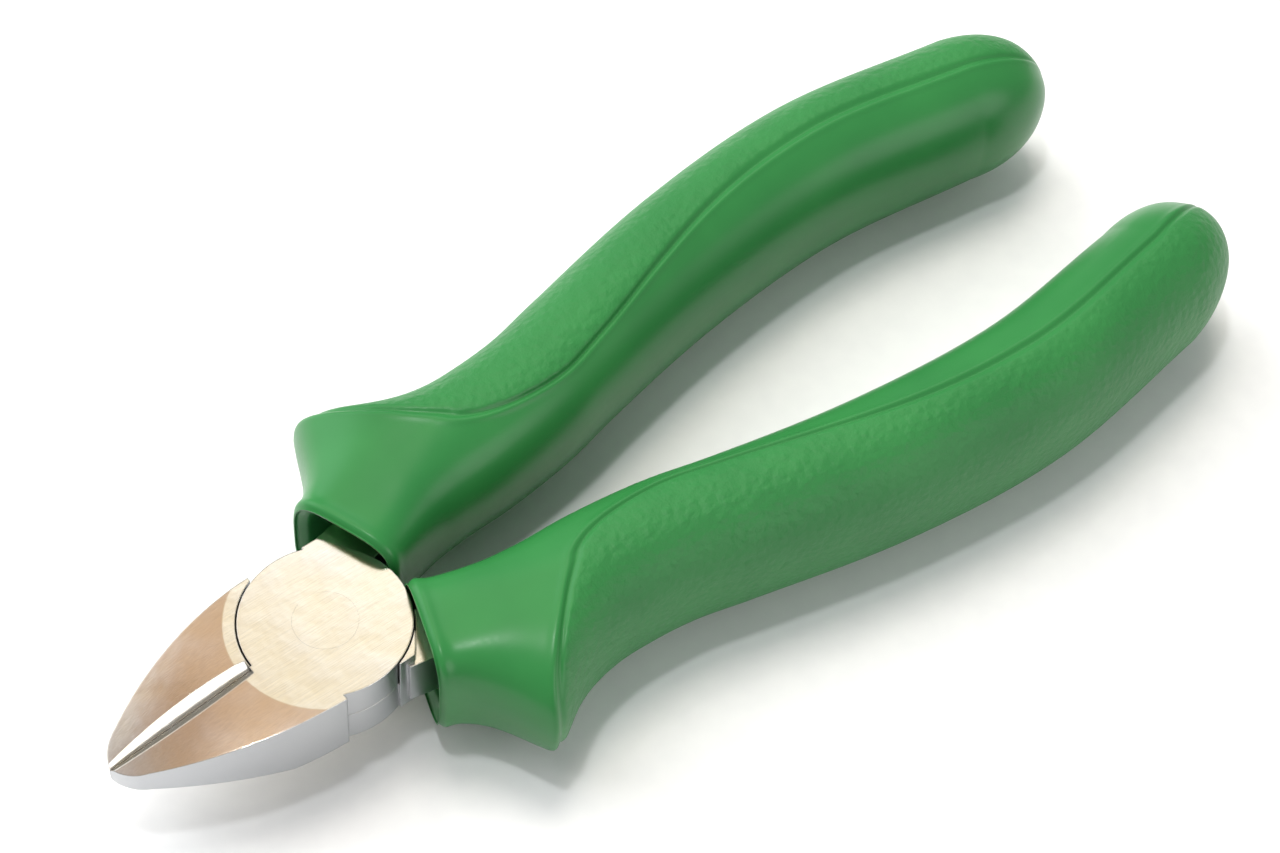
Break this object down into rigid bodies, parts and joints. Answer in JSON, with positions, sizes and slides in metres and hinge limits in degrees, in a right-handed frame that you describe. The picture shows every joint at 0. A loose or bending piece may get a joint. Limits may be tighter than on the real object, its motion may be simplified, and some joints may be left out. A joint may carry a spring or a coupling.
{
  "type": "sprue nippers",
  "caption": "Diagonal side-cutting nippers with a flush-riveted lap joint, leaf-shaped jaws and soft thumb-guard grips that open about the pivot.",
  "frame": {"origin": "on the rivet's axis, in the ground back face of the head", "axes": "+X from the joint towards the handle ends, -X towards the jaw tip; +Z along the rivet from the back face to the front face, with the bevelled edges up; the closed cutting edges lie in the plane y = 0"},
  "size_m": [0.1603, 0.0616, 0.0214],
  "materials": {
    "polished_steel": "ground and polished, fine grinding grain",
    "rivet_steel": "ground flush with the head",
    "grip_sleeve": "smooth on the inside, fine leather grain on the palm side"
  },
  "bodies": {
    "fixed_half": {"lower_half": "polished_steel", "pivot_rivet": "rivet_steel", "lower_grip": "grip_sleeve"},
    "moving_half": {"upper_half": "polished_steel", "upper_grip": "grip_sleeve"}
  },
  "joints": [
    {"name": "jaw_pivot", "type": "hinge", "parent": "fixed_half", "child": "moving_half", "pos_m": [0, 0, 0], "axis": [0, 0, 1], "range_deg": [0, 38]}
  ]
}
